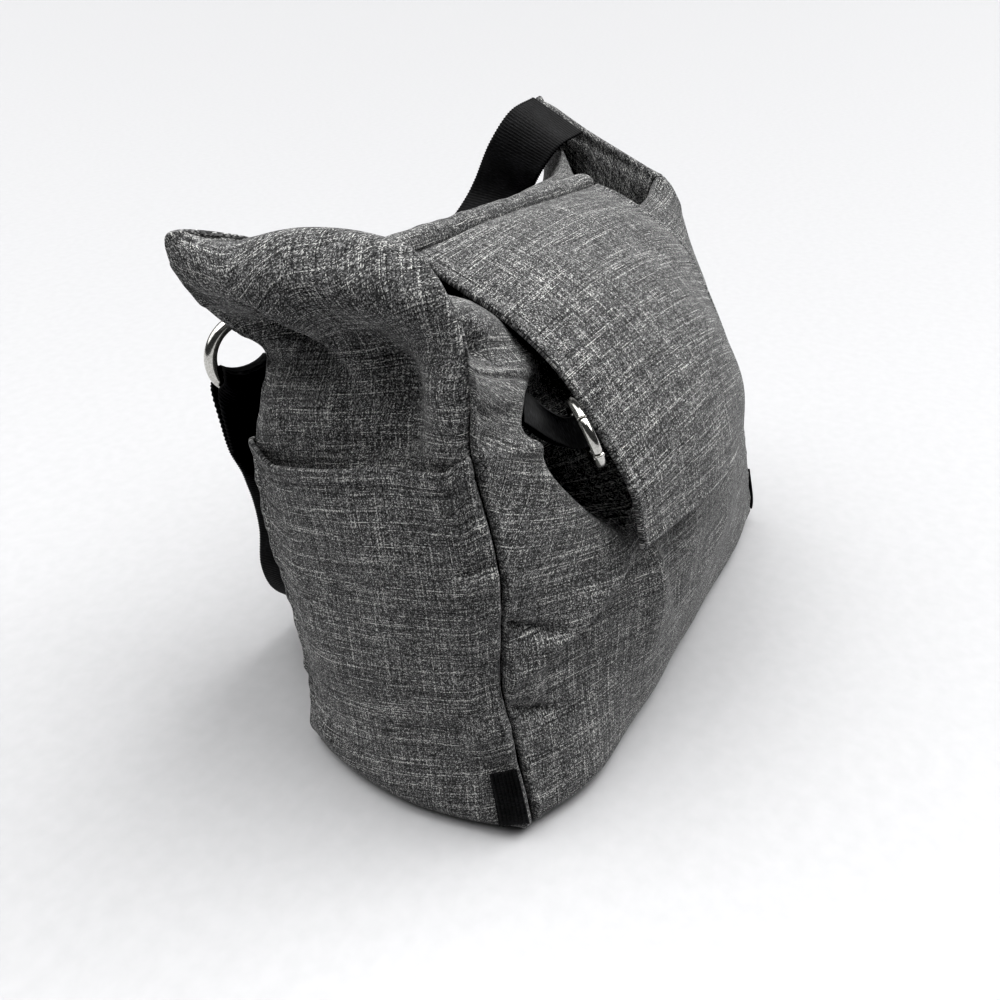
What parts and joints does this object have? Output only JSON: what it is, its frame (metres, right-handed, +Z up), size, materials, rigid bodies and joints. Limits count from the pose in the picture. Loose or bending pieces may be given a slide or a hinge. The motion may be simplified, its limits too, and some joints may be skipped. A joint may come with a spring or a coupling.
{
  "type": "flap-over diaper bag",
  "caption": "Soft grey cloth diaper bag that stands on its base, with a front flap, open end pockets, a webbing shoulder strap on a steel ring and a spring ring under the flap.",
  "frame": {"origin": "middle of the outline's box, on the ground under the base", "axes": "+X along the bag to the right end as its front is faced, -Y out of the front with the flap, +Z up"},
  "size_m": [0.4492, 0.2966, 0.3484],
  "materials": {
    "shell_cloth": "dark grey melange plain weave, matt",
    "strap_webbing": "black ribbed polyester webbing",
    "ring_steel": "polished nickel plate"
  },
  "bodies": {
    "bag": {"left_end_panel": "shell_cloth", "back_panel": "shell_cloth", "right_end_panel": "shell_cloth", "front_panel": "shell_cloth", "base_panel": "shell_cloth", "left_pocket": "shell_cloth", "right_pocket": "shell_cloth", "top_roll": "shell_cloth", "flap": "shell_cloth", "strap_ring": "ring_steel", "shoulder_strap": "strap_webbing", "ring_hanger": "strap_webbing", "snap_ring": "ring_steel", "snap_pin": "ring_steel", "ring_tape": "strap_webbing", "left_corner_tab": "strap_webbing", "right_corner_tab": "strap_webbing"},
    "gate": {"snap_gate": "ring_steel"}
  },
  "joints": [
    {"name": "gate_hinge", "type": "hinge", "parent": "bag", "child": "gate", "pos_m": [-0.1522, -0.12191, 0.239], "axis": [-0.6509, 0.6599, -0.3754], "range_deg": [0, 25], "stiffness_Nm_per_rad": 0.02}
  ]
}
